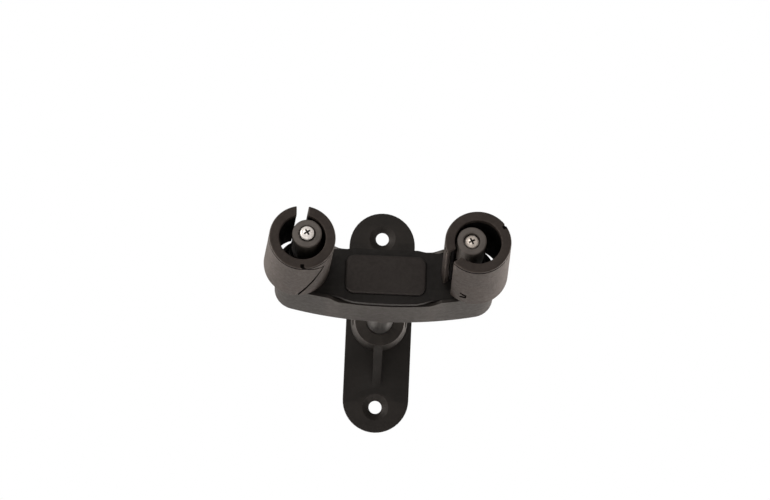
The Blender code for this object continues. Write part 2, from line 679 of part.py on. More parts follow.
def gate(side, frame):
    """One gate, which turns about the frame's Z: a stiff C-shaped core with its bush and the rubber sleeve on it."""
    lean = (GATE_LEAN * math.sin(GATE_LEAN_TURN), -GATE_LEAN * math.cos(GATE_LEAN_TURN), 0)
    front = axis_frame(f"gate_front_{side}", (-GATE_OFFSET, 0, GATE_FRONT), lean, frame)
    middle = axis_frame(f"gate_middle_{side}", (0, 0, -GATE_FRONT), (0, 0, 0), front)
    sleeve_bore = GATE_RADIUS - SLEEVE_THICKNESS
    core_front = GATE_FRONT - LIP_THICKNESS - GAP
    core_back = GATE_BACK + CORE_INSET
    core = ring(f"gate_core_{side}", CORE_BORE, sleeve_bore - GAP, core_back, core_front, middle, BLACK_NYLON, 60)
    bush_low = WASHER_SEAT + GATE_WASHER + 2 * GAP
    bush_high = SPINDLE_FRONT - GAP
    bush = peg(f"core_bush_{side}", CORE_BUSH_RADIUS, bush_low, bush_high, frame, None, steps=40)
    join(core, bush)
    cut(core, peg(f"core_bore_{side}", SPINDLE_RADIUS + GAP, 0, 2 * FAR, frame, None, steps=40))
    slot = ((GATE_BORE - ROOT, -SLOT_WIDTH / 2, 0), (GATE_RADIUS + ROOT, SLOT_WIDTH / 2, 2 * FAR))
    cut(core, block(f"core_slot_{side}", *slot, middle, None, SLOT_TURN))
    lip_back = GATE_FRONT - LIP_THICKNESS
    profile = arc(GATE_RADIUS - GATE_EDGE, GATE_FRONT - GATE_EDGE, GATE_EDGE, 90, 0, 3)
    profile += [
        (GATE_RADIUS, GATE_BACK + CHAMFER),
        (GATE_RADIUS - CHAMFER, GATE_BACK),
        (sleeve_bore, GATE_BACK),
        (sleeve_bore, lip_back),
        (GATE_BORE, lip_back),
        (GATE_BORE, GATE_FRONT - CHAMFER),
        (GATE_BORE + CHAMFER, GATE_FRONT),
    ]
    sleeve = turned(f"gate_sleeve_{side}", profile, middle, GREY_RUBBER, steps=60)
    cut(sleeve, block(f"sleeve_slot_{side}", *slot, middle, None, SLOT_TURN))
    cut_seam(sleeve, side, middle)


clear_scene()
PARTS = new_collection("wall_guitar_hanger")
CUTTERS = new_collection("cutters")

arm_end_y, arm_end_z = arm_path()[-1]
yoke_y = arm_end_y + ARM_END * math.cos(TILT)
yoke_z = arm_end_z - ARM_END * math.sin(TILT)
YOKE = axis_frame("yoke_frame", (0, yoke_y, yoke_z), (math.pi / 2 - TILT, 0, 0))
FACE = axis_frame("face_frame", (0, HUB_RISE, 0), (0, 0, 0), YOKE)
WALL_FRAME = axis_frame("wall_frame", (0, 0, 0), (math.pi / 2, 0, 0))
bpy.context.view_layer.update()
POSTS = {}
for hand, side in (("left", -1), ("right", 1)):
    POSTS[hand] = axis_frame(f"post_{hand}", (side * HUB_SPACING / 2, 0, 0), (0, 0, 0), FACE)
bpy.context.view_layer.update()

wall_plate(WALL_FRAME)
arm()
swivel()
yoke_housing()
yoke_cover()
gate_fittings("left", POSTS["left"], LEFT_SCREW_PROUD)
gate_fittings("right", POSTS["right"], 0.0)
gate("left", axis_frame("gate_axis_left", (0, 0, 0), (0, 0, LEFT_GATE_TURN), POSTS["left"]))
gate("right", axis_frame("gate_axis_right", (0, 0, 0), (0, 0, RIGHT_GATE_TURN), POSTS["right"]))
bpy.context.view_layer.update()
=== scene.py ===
"""The looks of the wall guitar hanger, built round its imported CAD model.

The rubber sleeves, hub caps, gate screws and neck rest are built here as finer pieces that stand for
their CAD nodes. Every other node keeps its own shape and gets smooth shading and a material. Lengths
are in metres.
"""
import json
import math

import bmesh
import bpy
from mathutils import Euler, Matrix, Vector, noise


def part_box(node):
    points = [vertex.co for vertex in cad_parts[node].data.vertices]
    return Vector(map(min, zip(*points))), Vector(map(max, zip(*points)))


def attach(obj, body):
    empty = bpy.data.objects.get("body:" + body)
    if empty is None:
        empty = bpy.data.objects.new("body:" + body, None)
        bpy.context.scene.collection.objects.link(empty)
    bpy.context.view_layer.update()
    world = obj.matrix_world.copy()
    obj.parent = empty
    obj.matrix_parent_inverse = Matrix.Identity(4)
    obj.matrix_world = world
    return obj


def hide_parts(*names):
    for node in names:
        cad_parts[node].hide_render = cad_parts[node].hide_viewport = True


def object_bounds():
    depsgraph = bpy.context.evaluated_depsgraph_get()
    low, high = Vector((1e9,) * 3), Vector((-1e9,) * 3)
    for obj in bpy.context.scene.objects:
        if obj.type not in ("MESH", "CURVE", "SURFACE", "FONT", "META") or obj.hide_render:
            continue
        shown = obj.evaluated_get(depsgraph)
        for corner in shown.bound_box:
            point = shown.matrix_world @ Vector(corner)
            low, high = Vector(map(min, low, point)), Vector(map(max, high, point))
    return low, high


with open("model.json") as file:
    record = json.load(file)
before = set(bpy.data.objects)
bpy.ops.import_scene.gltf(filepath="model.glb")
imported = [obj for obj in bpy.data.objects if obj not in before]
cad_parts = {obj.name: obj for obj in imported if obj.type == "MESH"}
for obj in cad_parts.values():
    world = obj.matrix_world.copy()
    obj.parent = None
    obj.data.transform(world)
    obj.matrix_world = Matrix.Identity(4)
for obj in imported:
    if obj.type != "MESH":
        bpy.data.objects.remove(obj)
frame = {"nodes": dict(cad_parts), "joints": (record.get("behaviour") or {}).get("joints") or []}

CAD_BOX = [list(corner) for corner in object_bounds()]
SIDES = ("left", "right")

# Camera
CAMERA_AZIMUTH = math.radians(-1.5)
CAMERA_ELEVATION = math.radians(-5.0)
CAMERA_ROLL = math.radians(2.5)
CAMERA_DISTANCE = 1.3
CAMERA_NEAR = 0.05
FIELD_WIDTH = 0.3348  # what the frame spans at the hubs' fronts
AIM_RIGHT = -0.0020  # from the middle of the hubs' fronts to the middle of the frame
AIM_UP = -0.0056
SENSOR_WIDTH = 36.0  # in millimetres, as Blender takes it

# Studio
FLOOR_DROP = 0.30
FLOOR_REACH = 6.0
LIGHT_COLOUR = (1.0, 0.93, 0.875)
LIGHT_TARGET = (0, -0.09, 0.02)
ROOM_FRONT = -0.7  # the room's light grows from here to ROOM_BACK, as the Y of a direction
ROOM_BACK = 0.35
ROOM_FRONT_LEVEL = 0.36
ROOM_BACK_LEVEL = 0.37

# Gates, along their own axes, with the same sizes as the CAD's solids
GATE_RADIUS = 0.0145
GATE_BORE = 0.0102
GATE_OFFSET = 0.0028  # from the gate's turning axis to the middle of its front
GATE_LEAN = math.radians(3.3)  # between the axis of the gate's round outside and its turning axis
GATE_LEAN_TURN = math.radians(125)  # towards this side at the back
GATE_BACK = 0.0266
GATE_FRONT = 0.063
SLEEVE_BORE = 0.0125
LIP_BACK = 0.0605
SLOT_WIDTH = 0.0052
SLOT_TURN = math.radians(45)
LEFT_GATE_TURN = math.radians(47)
RIGHT_GATE_TURN = math.radians(168)
SEAM_POINT = 0.0075  # from the gate's front to the seam's point

# Hub caps and gate screws, with the same sizes as the CAD's solids
HUB_RADIUS = 0.0065
HUB_FRONT = 0.062
HUB_BACK = 0.0423
SCREW_RADIUS = 0.002
SCREW_HEAD = 0.00305
SCREW_SEAT = 0.0597
SCREW_TIP = 0.0295
LEFT_SCREW_PROUD = 0.0020

# Sleeve details that only show
FRONT_EDGE = 0.0007  # roundings of the sleeve's edges
BORE_EDGE = 0.0004
BACK_EDGE = 0.0006
INNER_BACK_EDGE = 0.0003
SLOT_EDGE = 0.0004
SLOT_EDGE_STEPS = 4
FLARE = 0.0003  # how much wider the outside is at the back
WAVINESS = 0.00004
WAVE_SCALE = 1.7
WAVE_STRETCH = 60  # turns a height in metres into the waves' own units
SKIN = 0.0009  # this far inside, the sleeve still follows its outside's relief in full
FACE_BAND = 0.001  # behind the front, where the relief fades over FACE_FADE instead of SIDE_FADE
FACE_FADE = 0.0016
SIDE_FADE = 0.0004
COLUMNS = 120  # from one slot wall to the other, before the finer ones
LEAST_COLUMN = 0.0009  # as a share of the way round: closer columns are left out, except near the seam
SEAM_COLUMNS = 0.012  # as a share of the way round, to each side of the seam

# The seam opposite the slot, its notch in the front edge and the line behind that edge
GROOVE_WALL = 0.0001
GROOVE_SHADE = 0.0003  # grooves deeper than this get painted shade: their faces take a near-black material
SEAM_SWEEP = math.radians(44)
SEAM_HALF_WIDTH = 0.0007
SEAM_DEPTH = 0.0013
SEAM_FRONT_DEPTH = 0.0006
SEAM_BRINK_DEPTH = 0.00012  # at the top of the groove's walls
SEAM_SHOULDER = 0.0002  # beside the seam, where the sleeve's outside starts to sink
SEAM_SHOULDER_DEPTH = 0.00003
NOTCH_HALF_WIDTH = 0.0009
NOTCH_HEIGHT = 0.0018
NOTCH_DEPTH = 0.0005
LINE_BACK = 0.0014  # from the gate's front
LINE_HALF_WIDTH = 0.0004
LINE_DEPTH = 0.00035
LINE_PLAY = 0.00001  # so that a height on the line's edge counts as in it

# The small moulding mark beside the slot
MARK_TURN = math.radians(35)  # from the middle of the slot
MARK_HEIGHT = 0.0070  # above the sleeve's back
MARK_DEPTH = 0.0006
MARK_HALF_LENGTH = 0.0015
MARK_SPREAD = 0.0013
MARK_SLANT = 0.45
MARK_COLUMN = 0.00015
MARK_COLUMNS = 13  # to each side of its middle
WALL_SHARE = 0.03  # about the share of the way round that half of the slot takes
BAR_HALF_WIDTH = 0.0008
STROKE_EDGE = 0.0002

# Hub cap details
CAP_EDGE = 0.0006
CAP_BORE_PLAY = 0.0003
WELL_PLAY = 0.0006
WELL_GAP = 0.0003  # between the screw's seat and the well's floor
WELL_CORNER = 0.0002
WELL_EDGE = 0.0004

# Gate screw details
SCREW_RIM = 0.00075  # from the head's underside to where its dome starts
SCREW_HEIGHT = 0.0021
SCREW_EDGE = 0.00015
SCREW_POINT = 0.001
SCREW_POINT_TAPER = 0.0009
HEAD_STEPS = 10
HEAD_SIDE_CURVE = 0.9  # powers under one make the dome fuller than a quarter of an ellipse
HEAD_TOP_CURVE = 0.85
LEFT_CROSS_TURN = 34  # in degrees
RIGHT_CROSS_TURN = 28
CROSS_LENGTH = 0.0035
CROSS_FOOT_LENGTH = 0.0014
CROSS_WIDTH = 0.00085
CROSS_FOOT_WIDTH = 0.0007
CROSS_DEPTH = 0.0017
CUTTER_RISE = 0.0004
THREAD_PITCH = 0.0007
THREAD_DEPTH = 0.00035
THREAD_STEPS = 36
THREAD_FOOT = 0.42  # half of its foot, as a share of the pitch
THREAD_ROOT = 0.0002  # how far the foot is inside the shank
THREAD_CREST = 0.00004
THREAD_START = 0.05  # the share of its depth that the thread starts and ends with
THREAD_GAP = 0.0003

# Neck rest details
REST_CORNER = 0.004
REST_EDGE = 0.0009
REST_CROWN = 0.0004
REST_SIDE_SHARE = 0.35  # where a loop runs round its straight sides, as a share of its thickness
REST_EDGE_STEPS = 6
REST_RINGS = 12

# Meshes
SHARP_ANGLE = math.radians(32)
NODE_SHARP_ANGLE = math.radians(34)
NODE_WELD = 0.000002
MERGE_DISTANCE = 1e-7
ON_AXIS = 1e-9

joints = {joint["name"]: joint for joint in frame["joints"]}
TILT = math.asin(joints["yoke_swivel"]["axis"][2])


# ---------------------------------------------------------------- places


def post_frame(side):
    """The frame of a gate's post: origin on its axis, +Z out to its front, +Y up across the yoke's face."""
    joint = joints[f"gate_{side}_turn"]
    out = Vector(joint["axis"]).normalized()
    up = Vector((0, math.sin(TILT), math.cos(TILT)))
    across = up.cross(out)
    made = Matrix((across, out.cross(across), out)).transposed().to_4x4()
    made.translation = Vector(joint["pos_m"])
    return made


def sleeve_frame(side, turn):
    """The frame of a gate's round outside, which leans from its turning axis, turned with the gate."""
    lean = Euler((GATE_LEAN * math.sin(GATE_LEAN_TURN), -GATE_LEAN * math.cos(GATE_LEAN_TURN), 0))
    front = Matrix.Translation((-GATE_OFFSET, 0, GATE_FRONT)) @ lean.to_matrix().to_4x4()
    turned = post_frame(side) @ Matrix.Rotation(turn, 4, "Z")
    return turned @ front @ Matrix.Translation((0, 0, -GATE_FRONT))


# ---------------------------------------------------------------- meshes


def arc(centre, radius, start, end, steps):
    """Points along an arc, with both ends, from angle start to angle end in degrees."""
    angles = [math.radians(start + (end - start) * i / steps) for i in range(steps + 1)]
    return [(centre[0] + radius * math.cos(a), centre[1] + radius * math.sin(a)) for a in angles]


def between(low, high, steps):
    """Evenly spaced values from low to high, without either."""
    return [low + (high - low) * i / steps for i in range(1, steps)]


def shade(mesh):
    """Smooth shading that keeps the mesh's sharp edges."""
    mesh.shade_smooth()
    mesh.set_sharp_from_angle(angle=SHARP_ANGLE)


def piece(name, shape, place, look):
    """The bmesh as a smooth-shaded object at that place."""
    bmesh.ops.recalc_face_normals(shape, faces=shape.faces)
    mesh = bpy.data.meshes.new(name)
    shape.to_mesh(mesh)
    shape.free()
    shade(mesh)
    made = bpy.data.objects.new(name, mesh)
    bpy.context.scene.collection.objects.link(made)
    made.matrix_world = place
    mesh.materials.append(look)
    return made


def loft(shape, loops):
    """Faces between successive loops of points, with both ends filled. Returns each loop's vertices."""
    rows = [[shape.verts.new(point) for point in loop] for loop in loops]
    for row, following in zip(rows, rows[1:]):
        for i, vertex in enumerate(row):
            after = (i + 1) % len(row)
            shape.faces.new((vertex, row[after], following[after], following[i]))
    shape.faces.new(rows[0])
    shape.faces.new(list(reversed(rows[-1])))
    return rows


def lathe(name, profile, place, look, steps=96):
    """A closed profile of (radius, height) turned about Z. An edge on the axis is left out."""
    shape = bmesh.new()
    vertices = [shape.verts.new((r, 0, z)) for r, z in profile]
    edges = [shape.edges.new(pair) for pair in zip(vertices, vertices[1:] + vertices[:1])]
    edges = [e for e in edges if any(abs(v.co.x) > ON_AXIS for v in e.verts)]
    bmesh.ops.spin(
        shape, geom=vertices + edges, axis=(0, 0, 1), cent=(0, 0, 0), angle=2 * math.pi, steps=steps,
        use_duplicate=False, use_merge=True,
    )
    bmesh.ops.remove_doubles(shape, verts=shape.verts, dist=MERGE_DISTANCE)
    loose = [v for v in shape.verts if not v.link_faces]
    bmesh.ops.delete(shape, geom=loose, context="VERTS")
    return piece(name, shape, place, look)


def cut(target, cutter):
    """Takes the cutter out of the target's mesh, leaves its material on the cut and deletes it."""
    step = target.modifiers.new("cut", "BOOLEAN")
    step.operation = "DIFFERENCE"
    step.object = cutter
    step.solver = "EXACT"
    step.material_mode = "TRANSFER"
    bpy.context.view_layer.update()
    evaluated = target.evaluated_get(bpy.context.evaluated_depsgraph_get())
    mesh = bpy.data.meshes.new_from_object(evaluated)
    target.modifiers.clear()
    target.data = mesh
    bpy.data.objects.remove(cutter, do_unlink=True)


# ---------------------------------------------------------------- materials


class Look:
    """A material with a Principled shader, and short ways to add the nodes that drive it."""

    def __init__(self, name):
        self.material = bpy.data.materials.new(name)
        self.material.use_nodes = True
        self.tree = self.material.node_tree
        self.shader = self.tree.nodes["Principled BSDF"]
        self.place = self.add("ShaderNodeTexCoord").outputs["Object"]
        self.height = None

    def add(self, kind, inputs=None, **settings):
        """A node of that kind, with its inputs linked or set by name."""
        made = self.tree.nodes.new(kind)
        for key, value in settings.items():
            setattr(made, key, value)
        for key, value in (inputs or {}).items():
            if isinstance(value, bpy.types.NodeSocket):
                self.tree.links.new(value, made.inputs[key])
            else:
                made.inputs[key].default_value = value
        return made

    def link(self, value, socket):
        """Drives one of the shader's own inputs."""
        self.tree.links.new(value, self.shader.inputs[socket])

    def stretched(self, scale):
        """Object coordinates scaled by a different amount along each axis."""
        return self.add("ShaderNodeMapping", {"Vector": self.place, "Scale": scale}).outputs["Vector"]

    def noise(self, scale, detail=3.0, rough=0.55, at=None, distortion=0.0):
        """Cloudy noise, with about that many clouds to a metre."""
        inputs = {
            "Vector": at or self.place,
            "Scale": scale,
            "Detail": detail,
            "Roughness": rough,
            "Distortion": distortion,
        }
        return self.add("ShaderNodeTexNoise", inputs).outputs["Fac"]

    def grains(self, scale):
        """Pebbly cells, with about that many to a metre."""
        return self.add("ShaderNodeTexVoronoi", {"Vector": self.place, "Scale": scale}).outputs["Distance"]

    def ramp(self, value, low, high, to_low=0.0, to_high=1.0):
        """The value with its range from low to high stretched to another range."""
        inputs = {"Value": value, "From Min": low, "From Max": high, "To Min": to_low, "To Max": to_high}
        return self.add("ShaderNodeMapRange", inputs).outputs["Result"]

    def mix(self, share, low, high):
        """From the low colour to the high one, by the share."""
        made = self.add("ShaderNodeMix", data_type="RGBA")
        for socket, value in ((made.inputs[0], share), (made.inputs[6], low), (made.inputs[7], high)):
            if isinstance(value, bpy.types.NodeSocket):
                self.tree.links.new(value, socket)
            elif isinstance(value, tuple):
                socket.default_value = (*value, 1.0)
            else:
                socket.default_value = value
        return made.outputs[2]

    def over(self, colour, layer, share, most):
        """A layer's colour over another one, where the share says, and at most by that much."""
        return self.mix(self.ramp(share, 0, 1, 0, most), colour, layer)

    def bump(self, value, distance, strength):
        """Adds a layer of bump on top of the earlier ones."""
        inputs = {"Height": value, "Distance": distance, "Strength": strength}
        if self.height is not None:
            inputs["Normal"] = self.height
        self.height = self.add("ShaderNodeBump", inputs).outputs["Normal"]
        self.link(self.height, "Normal")

    def worn_edge(self, low, high):
        """How worn a point is, from nothing on flats to one on the sharpest edges."""
        pointiness = self.add("ShaderNodeNewGeometry").outputs["Pointiness"]
        return self.ramp(pointiness, low, high)

    def done(self, colour, roughness, metallic=0.0, specular=0.5):
        """The finished material."""
        self.link(colour, "Base Color")
        self.link(roughness, "Roughness")
        self.shader.inputs["Metallic"].default_value = metallic
        self.shader.inputs["Specular IOR Level"].default_value = specular
        return self.material


def rubber(name, dark, light, worn, specular=0.38):
    """Matte moulded rubber with faint flow streaks along it, fine grain and rubbed edges."""
    look = Look(name)
    cloud = look.ramp(look.noise(160, detail=4), 0.35, 0.7)
    streak = look.ramp(look.noise(500, detail=3, at=look.stretched((0.22, 0.22, 1.0))), 0.4, 0.7)
    speck = look.ramp(look.noise(5200, detail=2), 0.62, 0.8)
    colour = look.mix(cloud, dark, light)
    colour = look.over(colour, light, streak, most=0.35)
    colour = look.over(colour, worn, speck, most=0.5)
    colour = look.over(colour, worn, look.worn_edge(0.51, 0.58), most=0.6)
    grain = look.noise(420, detail=3, at=look.stretched((0.25, 0.25, 1.0)))
    look.bump(grain, distance=0.00008, strength=0.5)
    look.bump(look.noise(4200, detail=3, rough=0.7), distance=0.00004, strength=0.7)
    rough = look.ramp(look.noise(700, detail=4), 0.3, 0.75, 0.50, 0.68)
    look.shader.inputs["Specular Tint"].default_value = (1.0, 0.92, 0.89, 1.0)
    return look.done(colour, rough, specular=specular)


def moulded(name, dark, light, worn, low_rough, high_rough, specular=0.5):
    """Glass-filled nylon: a spark-eroded texture, faint flow marks and scuffs."""
    look = Look(name)
    cloud = look.ramp(look.noise(120, detail=5), 0.3, 0.7)
    marks = look.noise(300, detail=2, at=look.stretched((0.2, 1.0, 1.0)), distortion=1.0)
    flow = look.ramp(marks, 0.45, 0.7)
    speck = look.ramp(look.noise(3800, detail=3), 0.6, 0.8)
    colour = look.mix(cloud, dark, light)
    colour = look.over(colour, light, flow, most=0.25)
    colour = look.over(colour, worn, speck, most=0.4)
    colour = look.over(colour, worn, look.worn_edge(0.52, 0.6), most=0.5)
    look.bump(look.grains(2600), distance=0.00004, strength=0.35)
    look.bump(look.noise(6000, detail=2), distance=0.00003, strength=0.5)
    rough = look.ramp(look.noise(500, detail=4), 0.3, 0.75, low_rough, high_rough)
    return look.done(colour, rough, specular=specular)


def coated(name):
    """Powder coat on steel: orange peel under a satin black."""
    look = Look(name)
    cloud = look.ramp(look.noise(90, detail=4), 0.3, 0.7)
    colour = look.mix(cloud, (0.012, 0.012, 0.012), (0.022, 0.021, 0.020))
    colour = look.over(colour, (0.10, 0.098, 0.094), look.worn_edge(0.54, 0.62), most=0.5)
    look.bump(look.noise(1100, detail=1.5, rough=0.4), distance=0.00008, strength=0.6)
    look.bump(look.noise(5200, detail=2), distance=0.00001, strength=0.5)
    return look.done(colour, look.ramp(look.noise(800), 0.3, 0.7, 0.30, 0.42))


def plated(name, dark, light, turned_marks, metallic=1.0):
    """Bright zinc plate on steel, with turning marks round the Z axis of a piece built about it."""
    look = Look(name)
    cloud = look.ramp(look.noise(700, detail=4), 0.3, 0.7)
    colour = look.mix(cloud, dark, light)
    if turned_marks:
        rings = look.add(
            "ShaderNodeTexWave",
            {"Vector": look.place, "Scale": 2600.0, "Distortion": 1.5, "Detail": 2.0, "Detail Scale": 3.0},
            wave_type="RINGS",
            rings_direction="Z",
        ).outputs["Fac"]
        look.bump(rings, distance=0.000008, strength=0.5)
    look.bump(look.noise(2600, detail=3), distance=0.00001, strength=0.5)
    rough = look.ramp(look.noise(1900, detail=3), 0.3, 0.75, 0.16, 0.34)
    return look.done(colour, rough, metallic=metallic)


def acetal(name):
    """Off-white moulded acetal, slightly waxy."""
    look = Look(name)
    cloud = look.ramp(look.noise(400, detail=3), 0.3, 0.7)
    colour = look.mix(cloud, (0.62, 0.60, 0.54), (0.74, 0.72, 0.67))
    look.bump(look.noise(3000, detail=2), distance=0.00002, strength=0.5)
    return look.done(colour, look.ramp(look.noise(900), 0.3, 0.7, 0.35, 0.48))


# ---------------------------------------------------------------- rubber sleeves


def outside_heights():
    """Heights of the sleeve's outside between its roundings, finer at the mark, seam point and line."""
    mark = GATE_BACK + MARK_HEIGHT
    reach = MARK_SPREAD + 2 * BAR_HALF_WIDTH
    point = GATE_FRONT - SEAM_POINT
    heights = set(between(GATE_BACK + BACK_EDGE, mark - reach, 6) + [mark - reach])
    heights |= set(between(mark - reach, mark + reach, 36) + [mark + reach])
    heights |= set(between(mark + reach, point, 26) + [point])
    heights |= set(between(point, GATE_FRONT - FRONT_EDGE, 14))
    line = GATE_FRONT - LINE_BACK
    edge = LINE_HALF_WIDTH + GROOVE_WALL
    heights = {z for z in heights if abs(z - line) > edge + GROOVE_WALL}
    heights |= {line - edge, line - LINE_HALF_WIDTH, line + LINE_HALF_WIDTH, line + edge}
    return sorted(heights)


def sleeve_profile():
    """(radius, height) round the sleeve's section, anticlockwise from the back of its outer side."""
    back_corner = arc((GATE_RADIUS - BACK_EDGE, GATE_BACK + BACK_EDGE), BACK_EDGE, -90, 0, 4)
    front_corner = arc((GATE_RADIUS - FRONT_EDGE, GATE_FRONT - FRONT_EDGE), FRONT_EDGE, 0, 90, 6)
    bore_corner = arc((GATE_BORE + BORE_EDGE, GATE_FRONT - BORE_EDGE), BORE_EDGE, 90, 180, 4)
    outer = [(GATE_RADIUS, z) for z in outside_heights()]
    face = [(r, GATE_FRONT) for r in between(GATE_RADIUS - FRONT_EDGE, GATE_BORE + BORE_EDGE, 7)]
    lip = [(GATE_BORE, z) for z in between(GATE_FRONT - BORE_EDGE, LIP_BACK, 4)]
    step = [(GATE_BORE, LIP_BACK), (SLEEVE_BORE, LIP_BACK)]
    inner_corner = (SLEEVE_BORE + INNER_BACK_EDGE, GATE_BACK + INNER_BACK_EDGE)
    inside = [(SLEEVE_BORE, z) for z in between(LIP_BACK, inner_corner[1], 10)]
    inner_back = arc(inner_corner, INNER_BACK_EDGE, 180, 270, 3)
    return back_corner + outer + front_corner + face + bore_corner + lip + step + inside + inner_back


def inset_profile(profile, distance):
    """The profile moved inwards by that distance, corner by corner."""
    made = []
    for i, (r, z) in enumerate(profile):
        before = Vector(profile[i - 1])
        after = Vector(profile[(i + 1) % len(profile)])
        along = (after - before).normalized()
        made.append((r - along.y * distance, z + along.x * distance))
    return made


def seam_turn(height):
    """How far the seam has turned at that height: nothing at the sleeve's ends, SEAM_SWEEP at its point."""
    point = GATE_FRONT - SEAM_POINT
    if height > point:
        share = (GATE_FRONT - height) / SEAM_POINT
    else:
        share = (height - GATE_BACK) / (point - GATE_BACK)
    return SEAM_SWEEP * min(1.0, max(0.0, share))


def seam_depth(arc_from_seam, height):
    """How deep the seam or its notch is, that far round from its middle."""
    away = abs(arc_from_seam)
    if height > GATE_FRONT - NOTCH_HEIGHT and away <= NOTCH_HALF_WIDTH:
        return NOTCH_DEPTH
    if away <= SEAM_HALF_WIDTH - GROOVE_WALL:
        return SEAM_DEPTH if height < GATE_FRONT - SEAM_POINT else SEAM_FRONT_DEPTH
    if away <= SEAM_HALF_WIDTH:
        return SEAM_BRINK_DEPTH
    return SEAM_SHOULDER_DEPTH if away <= SEAM_HALF_WIDTH + SEAM_SHOULDER else 0.0


def faded(distance, half):
    """One within half of the middle of a stroke, falling to nothing at its edge."""
    return min(1.0, max(0.0, (half - abs(distance)) / STROKE_EDGE))


def mark_depth(arc_from_mark, height):
    """A moulding mark of two bars round the sleeve that run towards each other, as a depth."""
    up = height - GATE_BACK - MARK_HEIGHT
    end = faded(arc_from_mark, MARK_HALF_LENGTH)
    apart = MARK_SPREAD - MARK_SLANT * arc_from_mark
    return MARK_DEPTH * end * max(faded(up - apart, BAR_HALF_WIDTH), faded(up + apart, BAR_HALF_WIDTH))


def line_depth(height):
    """The shallow line round the sleeve, behind its front edge, as a depth."""
    return LINE_DEPTH if abs(height - GATE_FRONT + LINE_BACK) <= LINE_HALF_WIDTH + LINE_PLAY else 0.0


def sleeve_columns():
    """Shares of the way round from one slot wall to the other, finer at the seam and at the mark."""
    round_length = 2 * math.pi * GATE_RADIUS
    shares = {i / COLUMNS for i in range(COLUMNS + 1)}
    seam = (0.0, SEAM_HALF_WIDTH - GROOVE_WALL, SEAM_HALF_WIDTH)
    notch = (NOTCH_HALF_WIDTH, NOTCH_HALF_WIDTH + GROOVE_WALL, NOTCH_HALF_WIDTH + 5 * GROOVE_WALL)
    for away in seam + notch:
        shares |= {0.5 + away / round_length, 0.5 - away / round_length}
    middle = MARK_TURN / (2 * math.pi) - WALL_SHARE
    mark = range(-MARK_COLUMNS, MARK_COLUMNS + 1)
    shares |= {middle + i * MARK_COLUMN / round_length for i in mark}
    ordered = sorted(shares)
    kept = [ordered[0]]
    for share in ordered[1:]:
        if share - kept[-1] > LEAST_COLUMN or abs(share - 0.5) < SEAM_COLUMNS:
            kept.append(share)
    kept[-1] = 1.0
    return kept


def slot_to_slot(share, radius, clearance):
    """The angle of a point that share of the way round. The slot's walls stand back by the clearance."""
    wall = math.asin((SLOT_WIDTH / 2 + clearance) / radius)
    return SLOT_TURN + wall + share * (2 * math.pi - 2 * wall)


def outer_share(radius, height):
    """One on the sleeve's outside, falling to nothing a little way inside it."""
    fade = FACE_FADE if height > GATE_FRONT - FACE_BAND else SIDE_FADE
    return min(1.0, max(0.0, (radius - GATE_RADIUS + SKIN + fade) / fade))


def sunk(share, radius, height, clearance):
    """How deep the seam, the moulding mark or the line lies at a point of the sleeve."""
    arc_from_seam = (share - 0.5) * 2 * math.pi * GATE_RADIUS
    arc_from_mark = (slot_to_slot(share, radius, clearance) - SLOT_TURN - MARK_TURN) * GATE_RADIUS
    depth = max(seam_depth(arc_from_seam, height), mark_depth(arc_from_mark, height), line_depth(height))
    return outer_share(radius, height) * depth


def sleeve_point(share, radius, height, clearance):
    """A point of the sleeve, in the frame of its round outside."""
    angle = slot_to_slot(share, radius, clearance)
    outside = outer_share(radius, height)
    if outside > 0:
        place = Vector((math.cos(angle), math.sin(angle), height * WAVE_STRETCH))
        wave = noise.noise(place * WAVE_SCALE)
        back = (GATE_FRONT - height) / (GATE_FRONT - GATE_BACK)
        radius += outside * (FLARE * back - WAVINESS * wave) - sunk(share, radius, height, clearance)
        angle += outside * seam_turn(height) * (1 - 2 * abs(share - 0.5))
    return (radius * math.cos(angle), radius * math.sin(angle), height)


def slot_edge(end, profile):
    """Loops of the rounded edge at one end of the way round, from the slot's wall inwards."""
    loops = []
    for i in range(SLOT_EDGE_STEPS, 0, -1):
        angle = math.radians(90 * i / SLOT_EDGE_STEPS)
        clearance = SLOT_EDGE * (1 - math.sin(angle))
        section = inset_profile(profile, SLOT_EDGE * (1 - math.cos(angle)))
        loops.append([sleeve_point(end, r, z, clearance) for r, z in section])
    return loops


def sleeve(side, turn, look, groove_shade_look):
    """The C-shaped rubber sleeve with its slot, pointed seam, line and moulding mark."""
    profile = sleeve_profile()
    columns = sleeve_columns()
    loops = slot_edge(0.0, profile)
    loops += [[sleeve_point(s, r, z, SLOT_EDGE) for r, z in profile] for s in columns]
    loops += reversed(slot_edge(1.0, profile))
    shape = bmesh.new()
    rows = loft(shape, loops)
    # Faces of the seam, notch, line and mark that lie deeper than GROOVE_SHADE get a near-black material:
    # painted shade in the grooves.
    deep = set()
    for share, row in zip(columns, rows[SLOT_EDGE_STEPS:]):
        for (r, z), vertex in zip(profile, row):
            if sunk(share, r, z, SLOT_EDGE) > GROOVE_SHADE:
                deep.add(vertex)
    for face in shape.faces:
        face.material_index = 1 if deep.intersection(face.verts) else 0
    made = piece(f"rubber_sleeve_{side}", shape, sleeve_frame(side, turn), look)
    made.data.materials.append(groove_shade_look)
    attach(made, f"gate_{side}")
    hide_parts(f"gate_sleeve_{side}")


# ---------------------------------------------------------------- hub caps and gate screws


